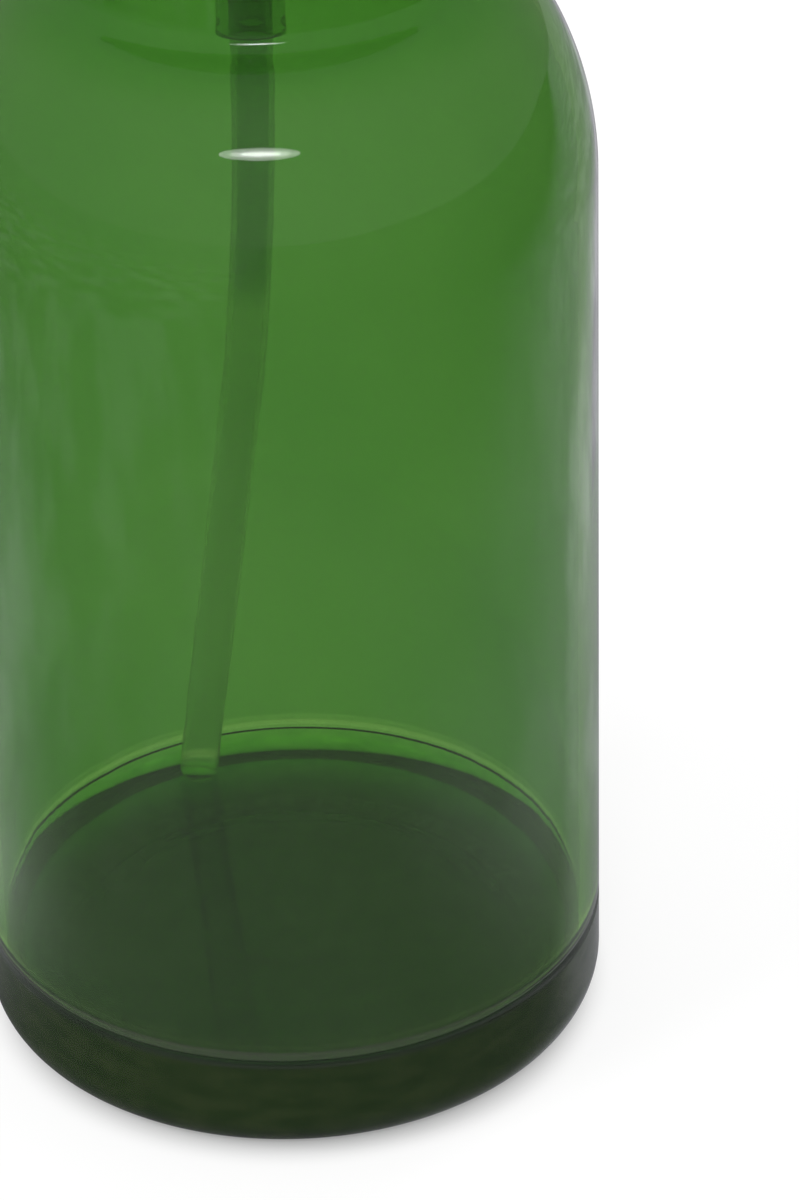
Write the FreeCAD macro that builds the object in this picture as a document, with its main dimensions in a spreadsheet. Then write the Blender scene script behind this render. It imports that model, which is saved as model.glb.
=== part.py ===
"""Wide-neck glass carboy: threaded glass vessel, two-piece screw lid, dip tube in a bulkhead sleeve, shut-off
tap and three-piece airlock.

Millimetres. +Z is up and the origin is the centre of the base. The lid's tap points along -X and its lever is
on the -Y side; the airlock stands on the +X side.
"""
import FreeCAD, Part
import math
import os
from types import SimpleNamespace

import Sketcher
from FreeCAD import Placement, Rotation, Vector

DIMENSIONS = {
    # Glass vessel
    "body_radius": 80.0,
    "body_height": 238.0,  # where the straight side ends and the shoulder starts
    "glass_wall": 5.0,
    "base_thickness": 24.0,
    "heel_radius": 13.0,
    "floor_fillet": 6.0,
    "foot_ring": 7.0,  # width of the ring that the vessel stands on, round the shallow recess under the base
    "punt_depth": 1.6,
    "punt_slope": 5.0,
    "shoulder_radius": 86.0,  # the long lower arc of the shoulder
    "shoulder_turn": 24.0,  # degrees that the lower arc turns through
    "shoulder_rise": 66.0,  # degrees, the tilt of the shoulder's surface where the neck's fillet starts
    "neck_radius": 48.8,
    "neck_fillet": 6.0,
    "neck_height": 28.3,  # from the top of the neck's fillet to the rim
    "rim_round": 1.8,
    "bead_height": 3.2,
    "bead_radius": 1.8,
    "bead_drop": 20.0,  # from the rim down to the bead's lower edge
    # Screw thread shared by the neck and the lid's ring
    "thread_pitch": 5.08,
    "thread_turns": 1.25,
    "thread_depth": 1.3,
    "thread_root": 2.5,
    "thread_crest": 1.4,
    "thread_drop": 11.0,  # from the rim down to the start of the neck's thread
    "thread_gap": 0.5,
    # Lid
    "gasket_thickness": 2.0,
    "disc_thickness": 3.0,
    "disc_gap": 1.0,
    "lip_depth": 6.0,
    "lip_wall": 2.0,
    "lip_gap": 0.6,
    "ring_wall": 3.2,
    "ring_skirt": 21.0,
    "ring_flange": 3.0,
    "ring_opening": 46.0,
    "ring_edge": 1.6,
    "ring_seat_gap": 0.2,
    "rib_count": 48,
    "rib_width": 2.4,
    "rib_height": 0.9,
    # Bulkhead sleeve and dip tube
    "stem_offset": 2.5,  # from the lid's centre towards -X
    "sleeve_drop": 52.0,
    "sleeve_radius": 8.25,
    "sleeve_flange_radius": 12.0,
    "sleeve_flange_thickness": 3.0,
    "socket_depth": 25.0,
    "shank_radius": 6.8,
    "washer_thickness": 1.5,
    "nut_across_flats": 21.0,
    "nut_height": 6.0,
    "spigot_radius": 5.5,
    "spigot_length": 10.0,
    "tube_radius": 5.25,
    "tube_bore": 3.8,
    "tube_bend_radius": 340.0,
    "foot_azimuth": 112.6,  # degrees, where the tube's foot stands around the vessel's floor
    "foot_gap": 1.4,
    "floor_gap": 0.3,
    # Tap
    "tap_wall": 2.5,
    "tap_bore": 3.0,
    "plug_radius": 5.4,
    "plug_gap": 0.05,
    "barrel_length": 20.0,
    "inlet_length": 18.5,
    "barb_length": 20.0,
    "barb_radius": 4.2,
    "barb_ridge": 0.9,
    "barb_count": 3,
    "barb_pitch": 5.0,
    "plug_head_radius": 7.2,
    "plug_head_length": 3.0,
    "plug_tail_radius": 3.0,
    "lever_length": 22.0,
    "lever_width": 6.0,
    "retainer_radius": 6.6,
    "retainer_thickness": 2.0,
    "tap_end_gap": 0.25,
    # Airlock
    "airlock_offset": 25.2,  # from the lid's centre towards +X
    "grommet_hole": 7.0,
    "grommet_lip": 2.4,
    "grommet_lip_thickness": 2.2,
    "airlock_stem_radius": 4.75,
    "airlock_bore": 3.4,
    "airlock_stem_length": 36.0,
    "airlock_insert": 12.0,  # how far the stem reaches below the lid's disc
    "cup_radius": 17.0,
    "cup_wall": 1.5,
    "cup_height": 44.0,
    "cup_corner": 3.0,
    "riser_height": 26.0,
    "float_radius": 9.4,
    "float_wall": 1.2,
    "float_depth": 23.0,
    "float_seat_gap": 0.1,
    "cap_gap": 0.3,
    "cap_wall": 1.4,
    "cap_skirt": 5.0,
    "cap_vents": 6,
    "cap_vent_radius": 1.1,
    "cap_vent_circle": 12.5,
    # Fits
    "press_gap": 0.05,
    "loose_gap": 0.2,
}

doc = FreeCAD.newDocument("glass_carboy")
sheet = doc.addObject("Spreadsheet::Sheet", "sizes")
for row, (name, value) in enumerate(DIMENSIONS.items(), start=1):
    sheet.set(f"A{row}", name)
    sheet.set(f"B{row}", str(value))
    sheet.setAlias(f"B{row}", name)
doc.recompute()


class Size:
    """A number from the sheet, or worked out from some, with the formula that binds it to them."""

    def __init__(self, value, formula):
        self.value = value
        self.formula = formula

    def __add__(self, other):
        return combined(self, "+", other, self.value + value_of(other))

    def __radd__(self, other):
        return combined(other, "+", self, other + self.value)

    def __sub__(self, other):
        return combined(self, "-", other, self.value - value_of(other))

    def __rsub__(self, other):
        return combined(other, "-", self, other - self.value)

    def __mul__(self, other):
        return combined(self, "*", other, self.value * value_of(other))

    __rmul__ = __mul__

    def __truediv__(self, other):
        return combined(self, "/", other, self.value / value_of(other))

    def __neg__(self):
        return self * -1


def value_of(length):
    return length.value if isinstance(length, Size) else float(length)


def formula_of(length):
    return length.formula if isinstance(length, Size) else f"{float(length)}"


def combined(left, sign, right, value):
    return Size(value, f"({formula_of(left)} {sign} {formula_of(right)})")


def sine(angle):
    return Size(math.sin(math.radians(value_of(angle))), f"sin({formula_of(angle)})")


def cosine(angle):
    return Size(math.cos(math.radians(value_of(angle))), f"cos({formula_of(angle)})")


def root(square):
    return Size(math.sqrt(value_of(square)), f"sqrt({formula_of(square)})")


def turn(rise, run):
    """The angle in degrees, as a plain number, of the direction (run, rise)."""
    degrees = math.degrees(math.atan2(value_of(rise), value_of(run)))
    return Size(degrees, f"(atan2({formula_of(rise)}; {formula_of(run)}) / 1 deg)")


d = SimpleNamespace(**{name: Size(float(sheet.get(name)), f"sizes.{name}") for name in DIMENSIONS})

# The shoulder: a long lower arc, a tighter upper arc and the neck's hollow fillet, each tangent to the next
shoulder_mid_x = d.body_radius - d.shoulder_radius * (1 - cosine(d.shoulder_turn))
shoulder_mid_z = d.body_height + d.shoulder_radius * sine(d.shoulder_turn)
shoulder_top_x = d.neck_radius + d.neck_fillet * (1 - cosine(d.shoulder_rise))
upper_radius = (shoulder_mid_x - shoulder_top_x) / (cosine(d.shoulder_turn) - cosine(d.shoulder_rise))
shoulder_top_z = shoulder_mid_z + upper_radius * (sine(d.shoulder_rise) - sine(d.shoulder_turn))
neck_foot = shoulder_top_z + d.neck_fillet * sine(d.shoulder_rise)

# Heights and radii that several pieces share
glass_height = neck_foot + d.neck_height
gasket_bottom = glass_height
disc_bottom = gasket_bottom + d.gasket_thickness
disc_top = disc_bottom + d.disc_thickness
neck_bore = d.neck_radius - d.glass_wall
ring_bore = d.neck_radius + d.thread_depth + d.thread_gap
ring_radius = ring_bore + d.ring_wall
ring_bottom = disc_top + d.ring_seat_gap - d.ring_skirt
lip_radius = neck_bore - d.lip_gap
sleeve_bottom = disc_bottom - d.sleeve_drop
shank_top = d.sleeve_drop + d.disc_thickness + d.nut_height + 1
tap_bottom = sleeve_bottom + shank_top + d.press_gap
airlock_bottom = disc_bottom - d.airlock_insert
cup_floor = d.airlock_stem_length + d.cup_wall


def set_size(thing, name, length):
    """Gives a property its value and binds it to the sheet."""
    thing.setExpression(name, formula_of(length))


def place(thing, x=0.0, y=0.0, z=0.0, turned=0.0):
    """Stands a piece at (x, y, z), turned about the vertical by some degrees."""
    where = Vector(value_of(x), value_of(y), value_of(z))
    thing.Placement = Placement(where, Rotation(Vector(0, 0, 1), value_of(turned)))
    for axis, length in (("x", x), ("y", y), ("z", z)):
        set_size(thing, f"Placement.Base.{axis}", length)


def new_body(label):
    body = doc.addObject("PartDesign::Body", label)
    body.Label = label
    return body


def new_sketch(body, name, plane="XZ_Plane", across=0.0, up=0.0, out=0.0):
    """A sketch on one of the body's own planes, its origin moved across and up the plane and out of it."""
    sketch = body.newObject("Sketcher::SketchObject", f"{body.Label}_{name}")
    support = next(feature for feature in body.Origin.OriginFeatures if feature.Role == plane)
    sketch.AttachmentSupport = (support, [""])
    sketch.MapMode = "FlatFace"
    sketch.AttachmentOffset = Placement(Vector(*map(value_of, (across, up, out))), Rotation())
    for axis, length in (("x", across), ("y", up), ("z", out)):
        set_size(sketch, f"AttachmentOffset.Base.{axis}", length)
    return sketch


def hold(sketch, kind, edge, end, length):
    """Holds one coordinate of an edge's end. An end at zero is held on the axis itself."""
    if abs(value_of(length)) < 1e-9:
        axis = -2 if kind == "DistanceX" else -1
        sketch.addConstraint(Sketcher.Constraint("PointOnObject", edge, end, axis))
        return
    index = sketch.addConstraint(Sketcher.Constraint(kind, -1, 1, edge, end, value_of(length)))
    sketch.setExpression(f"Constraints[{index}]", formula_of(length))


def arc_through(start, end, radius):
    """The short arc from start to end, to the right of the straight way for a positive radius."""
    chord = end - start
    half = chord.Length / 2
    sagitta = abs(radius) - math.sqrt(max(radius * radius - half * half, 0.0))
    right = Vector(chord.y, -chord.x, 0).normalize()
    middle = (start + end) * 0.5 + right * math.copysign(sagitta, radius)
    return Part.ArcOfCircle(start, middle, end)


def draw(sketch, corners, closed=True):
    """Draws lines and arcs through corners, each (x, y) or (x, y, radius).

    A radius makes an arc of the edge that arrives at its corner. Round a closed outline drawn anticlockwise, a
    positive radius bulges outwards and a negative one is hollow.
    """
    points = [Vector(value_of(corner[0]), value_of(corner[1]), 0) for corner in corners]
    ends = {}
    for k in range(0 if closed else 1, len(corners)):
        start, end, corner = points[k - 1], points[k], corners[k]
        if len(corner) == 2:
            edge = sketch.addGeometry(Part.LineSegment(start, end), False)
        else:
            edge = sketch.addGeometry(arc_through(start, end, value_of(corner[2])), False)
            radius = corner[2] if value_of(corner[2]) > 0 else -corner[2]
            index = sketch.addConstraint(Sketcher.Constraint("Radius", edge, value_of(radius)))
            sketch.setExpression(f"Constraints[{index}]", formula_of(radius))
        first = 1 if (sketch.getPoint(edge, 1) - start).Length < (sketch.getPoint(edge, 2) - start).Length else 2
        ends[k] = (edge, first, 3 - first)
    for k, (edge, first, last) in ends.items():
        following = ends.get((k + 1) % len(corners))
        if following:
            sketch.addConstraint(Sketcher.Constraint("Coincident", edge, last, following[0], following[1]))
        hold(sketch, "DistanceX", edge, last, corners[k][0])
        hold(sketch, "DistanceY", edge, last, corners[k][1])
    if not closed:
        edge, first, _ = ends[1]
        hold(sketch, "DistanceX", edge, first, corners[0][0])
        hold(sketch, "DistanceY", edge, first, corners[0][1])
    return sketch


def draw_circle(sketch, radius, x=0.0, y=0.0):
    circle = Part.Circle(Vector(value_of(x), value_of(y), 0), Vector(0, 0, 1), value_of(radius))
    edge = sketch.addGeometry(circle, False)
    index = sketch.addConstraint(Sketcher.Constraint("Radius", edge, value_of(radius)))
    sketch.setExpression(f"Constraints[{index}]", formula_of(radius))
    hold(sketch, "DistanceX", edge, 3, x)
    hold(sketch, "DistanceY", edge, 3, y)
    return sketch


def rectangle(left, bottom, right, top):
    return [(left, bottom), (right, bottom), (right, top), (left, top)]


def feature(body, kind, name, profile, **properties):
    """Adds a PartDesign feature of a sketch. A property given as a Size is bound to the sheet."""
    made = body.newObject(f"PartDesign::{kind}", f"{body.Label}_{name}")
    made.Profile = profile
    for key, value in properties.items():
        if isinstance(value, Size):
            set_size(made, key, value)
        else:
            setattr(made, key, value)
    profile.Visibility = False
    body.Tip = made
    return made


def revolve(body, name, corners, kind="Revolution", axis="V_Axis", **where):
    sketch = draw(new_sketch(body, name, **where), corners)
    return feature(body, kind, f"{name}_turned", sketch, ReferenceAxis=(sketch, [axis]), Angle=360.0)


def turned(label, corners):
    """A body that is one turned profile about its vertical axis."""
    body = new_body(label)
    revolve(body, "profile", corners)
    return body


def polar_pattern(body, name, original, sketch, count):
    pattern = body.newObject("PartDesign::PolarPattern", f"{body.Label}_{name}")
    pattern.Originals = [original]
    pattern.Axis = (sketch, ["N_Axis"])
    pattern.Angle = 360.0
    set_size(pattern, "Occurrences", count)
    body.Tip = pattern
    return pattern


def thread(body, name, base_radius, crest_radius, height):
    """A helical ridge that starts at the body's XZ plane, at some height, and rises anticlockwise."""
    sketch = draw(
        new_sketch(body, name, up=height),
        sorted_for_side(base_radius, crest_radius),
    )
    return feature(
        body,
        "AdditiveHelix",
        f"{name}_ridge",
        sketch,
        ReferenceAxis=(sketch, ["V_Axis"]),
        Mode="pitch-turns-angle",
        Pitch=d.thread_pitch,
        Turns=d.thread_turns,
        LeftHanded=False,
    )


def sorted_for_side(base_radius, crest_radius):
    """The ridge's section, anticlockwise whether its crest points outwards or inwards."""
    root_half = d.thread_root / 2
    crest_half = d.thread_crest / 2
    corners = [
        (base_radius, -root_half),
        (crest_radius, -crest_half),
        (crest_radius, crest_half),
        (base_radius, root_half),
    ]
    return corners if value_of(crest_radius) > value_of(base_radius) else corners[::-1]


def make_vessel():
    """Straight thick-based body, two-arc shoulder, concave fillet and short wide neck with a screw finish."""
    low, lean, rise = d.shoulder_radius, d.shoulder_turn, d.shoulder_rise
    mid_x, mid_z, top_x, top_z = shoulder_mid_x, shoulder_mid_z, shoulder_top_x, shoulder_top_z
    punt_radius = d.body_radius - d.heel_radius - d.foot_ring
    bead = glass_height - d.bead_drop
    wall, floor = d.glass_wall, d.base_thickness
    inside = d.body_radius - wall
    body = turned(
        "glass_vessel",
        [
            (0, d.punt_depth),
            (punt_radius - d.punt_slope, d.punt_depth),
            (punt_radius, 0),
            (d.body_radius - d.heel_radius, 0),
            (d.body_radius, d.heel_radius, d.heel_radius),
            (d.body_radius, d.body_height),
            (mid_x, mid_z, low),
            (top_x, top_z, upper_radius),
            (d.neck_radius, neck_foot, -d.neck_fillet),
            (d.neck_radius, bead),
            (d.neck_radius, bead + d.bead_height, d.bead_radius),
            (d.neck_radius, glass_height - d.rim_round),
            (d.neck_radius - d.rim_round, glass_height, d.rim_round),
            (neck_bore + d.rim_round, glass_height),
            (neck_bore, glass_height - d.rim_round, d.rim_round),
            (neck_bore, neck_foot),
            (top_x - wall * cosine(rise), top_z - wall * sine(rise), d.neck_fillet + wall),
            (mid_x - wall * cosine(lean), mid_z - wall * sine(lean), -(upper_radius - wall)),
            (inside, d.body_height, -(low - wall)),
            (inside, floor + d.floor_fillet),
            (inside - d.floor_fillet, floor, -d.floor_fillet),
            (0, floor),
        ],
    )
    thread(
        body,
        "neck_thread",
        d.neck_radius - d.thread_depth / 4,
        d.neck_radius + d.thread_depth,
        glass_height - d.thread_drop,
    )
    place(body)
    return body


def make_gasket():
    """Flat seal between the glass rim and the disc, held central by the disc's lip."""
    inner, outer = lip_radius + d.loose_gap, d.neck_radius - d.loose_gap
    body = turned("disc_gasket", rectangle(inner, 0, outer, d.gasket_thickness))
    place(body, z=gasket_bottom)
    return body


def make_disc():
    """Flat disc that closes the neck, with a locating lip below and one hole each for sleeve and airlock."""
    top = d.lip_depth + d.disc_thickness
    edge = ring_bore - d.disc_gap
    body = turned(
        "lid_disc",
        [
            (0, d.lip_depth),
            (lip_radius - d.lip_wall, d.lip_depth),
            (lip_radius - d.lip_wall, 0),
            (lip_radius, 0),
            (lip_radius, d.lip_depth),
            (edge, d.lip_depth),
            (edge, top),
            (0, top),
        ],
    )
    holes = new_sketch(body, "holes", plane="XY_Plane", out=top)
    draw_circle(holes, d.shank_radius + d.loose_gap, x=-d.stem_offset)
    draw_circle(holes, d.grommet_hole, x=d.airlock_offset)
    feature(body, "Pocket", "bored", holes, Type="ThroughAll", Reversed=False)
    place(body, z=disc_bottom - d.lip_depth)
    return body


def make_ring():
    """Threaded ring that clamps the disc, with grip ribs round its skirt."""
    top = d.ring_skirt + d.ring_flange
    body = turned(
        "lid_ring",
        [
            (ring_bore, 0),
            (ring_radius, 0),
            (ring_radius, top - d.ring_edge),
            (ring_radius - d.ring_edge, top, d.ring_edge),
            (d.ring_opening, top),
            (d.ring_opening, d.ring_skirt),
            (ring_bore, d.ring_skirt),
        ],
    )
    neck_thread = glass_height - d.thread_drop - ring_bottom
    thread(
        body,
        "ring_thread",
        ring_bore + d.thread_depth / 4,
        ring_bore - d.thread_depth,
        neck_thread - d.thread_pitch / 2,
    )
    rib = new_sketch(body, "rib", plane="XY_Plane", out=d.ring_edge)
    half = d.rib_width / 2
    draw(rib, rectangle(ring_radius - d.rib_height, -half, ring_radius + d.rib_height, half))
    pad = feature(body, "Pad", "rib_raised", rib, Length=top - 3 * d.ring_edge)
    polar_pattern(body, "ribs", pad, rib, d.rib_count)
    place(body, z=ring_bottom)
    return body


def make_sleeve():
    """Rigid bulkhead sleeve: the tube's socket below, a flange under the disc, a shank and spigot above."""
    flange_top = d.sleeve_drop - d.washer_thickness
    flange_bottom = flange_top - d.sleeve_flange_thickness
    socket = d.tube_radius + d.press_gap
    top = shank_top + d.spigot_length
    body = turned(
        "stem_sleeve",
        [
            (socket, 0),
            (d.sleeve_radius, 0),
            (d.sleeve_radius, flange_bottom),
            (d.sleeve_flange_radius, flange_bottom),
            (d.sleeve_flange_radius, flange_top),
            (d.shank_radius, flange_top),
            (d.shank_radius, shank_top),
            (d.spigot_radius, shank_top),
            (d.spigot_radius, top),
            (d.tube_bore, top),
            (d.tube_bore, d.socket_depth),
            (socket, d.socket_depth),
        ],
    )
    place(body, x=-d.stem_offset, z=sleeve_bottom)
    return body


def make_washer():
    """Seal between the sleeve's flange and the disc."""
    inner, outer = d.shank_radius + d.loose_gap, d.sleeve_flange_radius - d.loose_gap
    body = turned("stem_washer", rectangle(inner, 0, outer, d.washer_thickness))
    place(body, x=-d.stem_offset, z=disc_bottom - d.washer_thickness)
    return body


def make_nut():
    """Hexagon nut that draws the sleeve's flange up against the disc."""
    blank = doc.addObject("Part::Prism", "nut_blank")
    blank.Polygon = 6
    set_size(blank, "Circumradius", d.nut_across_flats / (2 * cosine(30)))
    set_size(blank, "Height", d.nut_height)
    bore = doc.addObject("Part::Cylinder", "nut_bore")
    set_size(bore, "Radius", d.shank_radius + d.press_gap)
    set_size(bore, "Height", d.nut_height)
    nut = doc.addObject("Part::Cut", "stem_nut")
    nut.Label = "stem_nut"
    nut.Base = blank
    nut.Tool = bore
    place(nut, x=-d.stem_offset, z=disc_top)
    return nut


def make_dip_tube():
    """Tube that leaves the sleeve straight down, bends once and runs to the foot of the far wall.

    Its own frame has the stem's axis as Z, the vessel's floor as z = 0, and the foot in the +X direction.
    """
    foot_circle = d.body_radius - d.glass_wall - d.tube_radius - d.foot_gap
    foot_x = foot_circle * cosine(d.foot_azimuth) + d.stem_offset
    foot_y = foot_circle * sine(d.foot_azimuth)
    reach = root(foot_x * foot_x + foot_y * foot_y)
    drop = sleeve_bottom - d.base_thickness
    bend = d.tube_bend_radius
    # The straight run is tangent to the bend, so its lean follows from where the foot stands.
    straight = root(reach * reach + drop * drop - 2 * reach * bend)
    lean = turn(drop, bend - reach) - turn(straight, bend)
    foot_z = d.tube_radius * sine(lean) + d.floor_gap

    body = new_body("dip_tube")
    route = draw(
        new_sketch(body, "route"),
        [
            (0, drop + d.socket_depth),
            (0, drop),
            (bend * (1 - cosine(lean)), drop - bend * sine(lean), bend),
            (reach, foot_z),
        ],
        closed=False,
    )
    section = new_sketch(body, "section", plane="XY_Plane", out=drop + d.socket_depth)
    draw_circle(section, d.tube_radius)
    draw_circle(section, d.tube_bore)
    feature(body, "AdditivePipe", "swept", section, Spine=route)
    route.Visibility = False
    heading = turn(foot_y, foot_x)
    place(body, x=-d.stem_offset, z=d.base_thickness, turned=heading)
    set_size(body, "Placement.Rotation.Angle", heading)
    return body


def make_grommet():
    """Soft grommet that seals the airlock's stem in the disc."""
    lip, waist = d.grommet_lip_thickness, d.grommet_hole - d.press_gap
    outer = d.grommet_hole + d.grommet_lip
    bore = d.airlock_stem_radius + d.press_gap
    top = lip + d.disc_thickness
    body = turned(
        "airlock_grommet",
        [
            (bore, 0),
            (outer - lip / 2, 0),
            (outer, lip),
            (waist, lip),
            (waist, top),
            (outer, top),
            (outer - lip / 2, top + lip),
            (bore, top + lip),
        ],
    )
    place(body, x=d.airlock_offset, z=disc_bottom - lip)
    return body


def make_airlock_body():
    """Water cup on a hollow stem, which goes on up inside the cup as a riser."""
    base, rim = d.airlock_stem_length, d.airlock_stem_length + d.cup_height
    inside = d.cup_radius - d.cup_wall
    body = turned(
        "airlock_body",
        [
            (d.airlock_bore, 0),
            (d.airlock_stem_radius, 0),
            (d.airlock_stem_radius, base),
            (d.cup_radius - d.cup_corner, base),
            (d.cup_radius, base + d.cup_corner, d.cup_corner),
            (d.cup_radius, rim),
            (inside, rim),
            (inside, base + d.cup_corner),
            (d.cup_radius - d.cup_corner, cup_floor, -(d.cup_corner - d.cup_wall)),
            (d.airlock_stem_radius, cup_floor),
            (d.airlock_stem_radius, base + d.riser_height),
            (d.airlock_bore, base + d.riser_height),
        ],
    )
    place(body, x=d.airlock_offset, z=airlock_bottom)
    return body


def make_float():
    """Inverted cup that rests on the riser and lifts when gas passes."""
    inside = d.float_radius - d.float_wall
    top = d.float_depth + d.float_wall
    body = turned(
        "airlock_float",
        [
            (0, d.float_depth),
            (inside, d.float_depth),
            (inside, 0),
            (d.float_radius, 0),
            (d.float_radius, top - d.float_wall),
            (d.float_radius - d.float_wall, top, d.float_wall),
            (0, top),
        ],
    )
    riser_top = airlock_bottom + d.airlock_stem_length + d.riser_height
    place(body, x=d.airlock_offset, z=riser_top + d.float_seat_gap - d.float_depth)
    return body


def make_cap():
    """Vented cap that sits over the cup's rim."""
    inside = d.cup_radius + d.cap_gap
    outside = inside + d.cap_wall
    top = d.cap_skirt + d.cap_wall
    body = turned(
        "airlock_cap",
        [
            (0, d.cap_skirt),
            (inside, d.cap_skirt),
            (inside, 0),
            (outside, 0),
            (outside, top - d.cap_wall),
            (outside - d.cap_wall, top, d.cap_wall),
            (0, top),
        ],
    )
    vent = new_sketch(body, "vent", plane="XY_Plane", out=top)
    draw_circle(vent, d.cap_vent_radius, x=d.cap_vent_circle)
    hole = feature(body, "Pocket", "vented", vent, Type="ThroughAll", Reversed=False)
    polar_pattern(body, "vents", hole, vent, d.cap_vents)
    rim = airlock_bottom + d.airlock_stem_length + d.cup_height
    place(body, x=d.airlock_offset, z=rim + d.float_seat_gap - d.cap_skirt)
    return body


def make_tap_body():
    """Angle tap: socket below, barrel across and barbed outlet to the side.

    Its own frame stands on the socket's mouth, with the outlet towards +X and the barrel along Y.
    """
    height = d.inlet_length
    socket = d.spigot_radius + d.press_gap
    shell = socket + d.tap_wall
    plug_bore = d.plug_radius + d.plug_gap
    outlet_end = plug_bore + d.tap_wall + d.barb_length
    body = new_body("tap_body")

    barrel = draw_circle(new_sketch(body, "barrel", up=height), plug_bore + d.tap_wall)
    feature(body, "Pad", "barrel_made", barrel, Length=d.barrel_length, Midplane=True)
    revolve(body, "inlet", rectangle(0, 0, shell, height))

    crest = d.barb_radius + d.barb_ridge
    edge = [(0, 0), (outlet_end, 0), (outlet_end, d.barb_radius)]
    for k in range(int(value_of(d.barb_count))):
        foot = outlet_end - (k + 1) * d.barb_pitch
        edge += [(foot + 1, crest), (foot, crest), (foot, d.barb_radius)]
    edge.append((0, d.barb_radius))
    revolve(body, "outlet", edge, axis="H_Axis", up=height)

    throat = [
        (0, 0),
        (socket, 0),
        (socket, d.spigot_length + d.press_gap),
        (d.tap_bore, d.spigot_length + d.press_gap),
        (d.tap_bore, height),
        (0, height),
    ]
    revolve(body, "throat", throat, kind="Groove")
    outlet_bore = rectangle(0, 0, outlet_end, d.tap_bore)
    revolve(body, "outlet_bore", outlet_bore, kind="Groove", axis="H_Axis", up=height)
    seat = draw_circle(new_sketch(body, "seat", up=height), plug_bore)
    feature(body, "Pocket", "seat_bored", seat, Type="ThroughAll", Midplane=True)
    place(body, x=-d.stem_offset, z=tap_bottom, turned=180)
    return body


def make_tap_plug():
    """Rotor with an angled port and a lever, shown shut: its port faces the outlet and the top.

    Its own frame has the rotor's axis as Y, with y = 0 at the tail.
    """
    tail = d.retainer_thickness + d.tap_end_gap
    shoulder = tail + d.barrel_length + d.tap_end_gap
    end = shoulder + d.plug_head_length
    middle = tail + d.barrel_length / 2
    body = new_body("tap_plug")
    rotor = [
        (0, 0),
        (d.plug_tail_radius, 0),
        (d.plug_tail_radius, tail),
        (d.plug_radius, tail),
        (d.plug_radius, shoulder),
        (d.plug_head_radius, shoulder),
        (d.plug_head_radius, end),
        (0, end),
    ]
    revolve(body, "rotor", rotor, plane="XY_Plane")

    half, straight = d.lever_width / 2, d.lever_length - d.lever_width / 2
    lever = new_sketch(body, "lever", out=-shoulder)
    tip = d.lever_length
    draw(lever, [(-half, 0), (half, 0), (half, straight), (0, tip, half), (-half, straight, half)])
    feature(body, "Pad", "lever_made", lever, Length=d.plug_head_length, Reversed=True)

    side_port = draw_circle(new_sketch(body, "side_port", plane="YZ_Plane"), d.tap_bore, x=middle)
    feature(body, "Pocket", "side_port_bored", side_port, Length=d.plug_radius * 2, Reversed=True)
    top_port = draw_circle(new_sketch(body, "top_port", plane="XY_Plane"), d.tap_bore, y=middle)
    feature(body, "Pocket", "top_port_bored", top_port, Length=d.plug_radius * 2, Reversed=True)
    place(body, x=-d.stem_offset, y=middle, z=tap_bottom + d.inlet_length, turned=180)
    return body


def make_retainer():
    """Collar pressed on the plug's tail, which keeps it in the barrel."""
    tail = d.retainer_thickness + d.tap_end_gap
    middle = tail + d.barrel_length / 2
    body = new_body("tap_retainer")
    profile = rectangle(d.plug_tail_radius + d.press_gap, 0, d.retainer_radius, d.retainer_thickness)
    revolve(body, "collar", profile, plane="XY_Plane")
    place(body, x=-d.stem_offset, y=middle, z=tap_bottom + d.inlet_length, turned=180)
    return body


PIECES = [
    make_vessel(),
    make_gasket(),
    make_disc(),
    make_ring(),
    make_sleeve(),
    make_washer(),
    make_nut(),
    make_dip_tube(),
    make_grommet(),
    make_airlock_body(),
    make_float(),
    make_cap(),
    make_tap_body(),
    make_tap_plug(),
    make_retainer(),
]

doc.recompute()
for thing in doc.Objects:
    if "Invalid" in thing.State or "Error" in thing.State:
        raise RuntimeError(f"{thing.Label} failed: {thing.State}")
for piece in PIECES:
    if piece.Shape.isNull() or not piece.Shape.isValid() or len(piece.Shape.Solids) != 1:
        raise RuntimeError(f"{piece.Label} is not one valid solid")

os.makedirs("parts", exist_ok=True)
for piece in PIECES:
    piece.Shape.exportStep(f"parts/{piece.Label}.step")
    box = piece.Shape.BoundBox
    print(f"{piece.Label}: volume {piece.Shape.Volume:.1f} mm3, z {box.ZMin:.2f} to {box.ZMax:.2f}")
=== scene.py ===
from math import acos, asin, atan2, ceil, cos, degrees, hypot, pi, radians, sin, sqrt, tan

import bpy
from mathutils import Matrix, Vector


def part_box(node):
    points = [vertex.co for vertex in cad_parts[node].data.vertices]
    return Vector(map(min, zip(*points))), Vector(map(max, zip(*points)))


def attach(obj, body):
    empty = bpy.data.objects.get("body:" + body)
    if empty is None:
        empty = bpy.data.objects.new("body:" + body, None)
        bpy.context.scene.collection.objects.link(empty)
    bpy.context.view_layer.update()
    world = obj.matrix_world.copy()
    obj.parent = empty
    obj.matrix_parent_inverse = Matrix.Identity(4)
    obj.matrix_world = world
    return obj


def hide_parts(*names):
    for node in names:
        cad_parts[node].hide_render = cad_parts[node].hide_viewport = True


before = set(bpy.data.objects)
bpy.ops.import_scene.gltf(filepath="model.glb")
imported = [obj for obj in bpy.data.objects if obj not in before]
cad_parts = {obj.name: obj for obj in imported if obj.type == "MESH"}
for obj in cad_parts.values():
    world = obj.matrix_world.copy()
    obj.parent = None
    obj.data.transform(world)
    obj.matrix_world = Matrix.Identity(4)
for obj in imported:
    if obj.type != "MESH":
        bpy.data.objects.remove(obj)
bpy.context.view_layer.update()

# Sizes are in millimetres, and each is multiplied by MM where it is placed.
MM = 0.001
AXES = {"X": Vector((1, 0, 0)), "Y": Vector((0, 1, 0)), "Z": Vector((0, 0, 1))}


# Modelling tools

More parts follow.
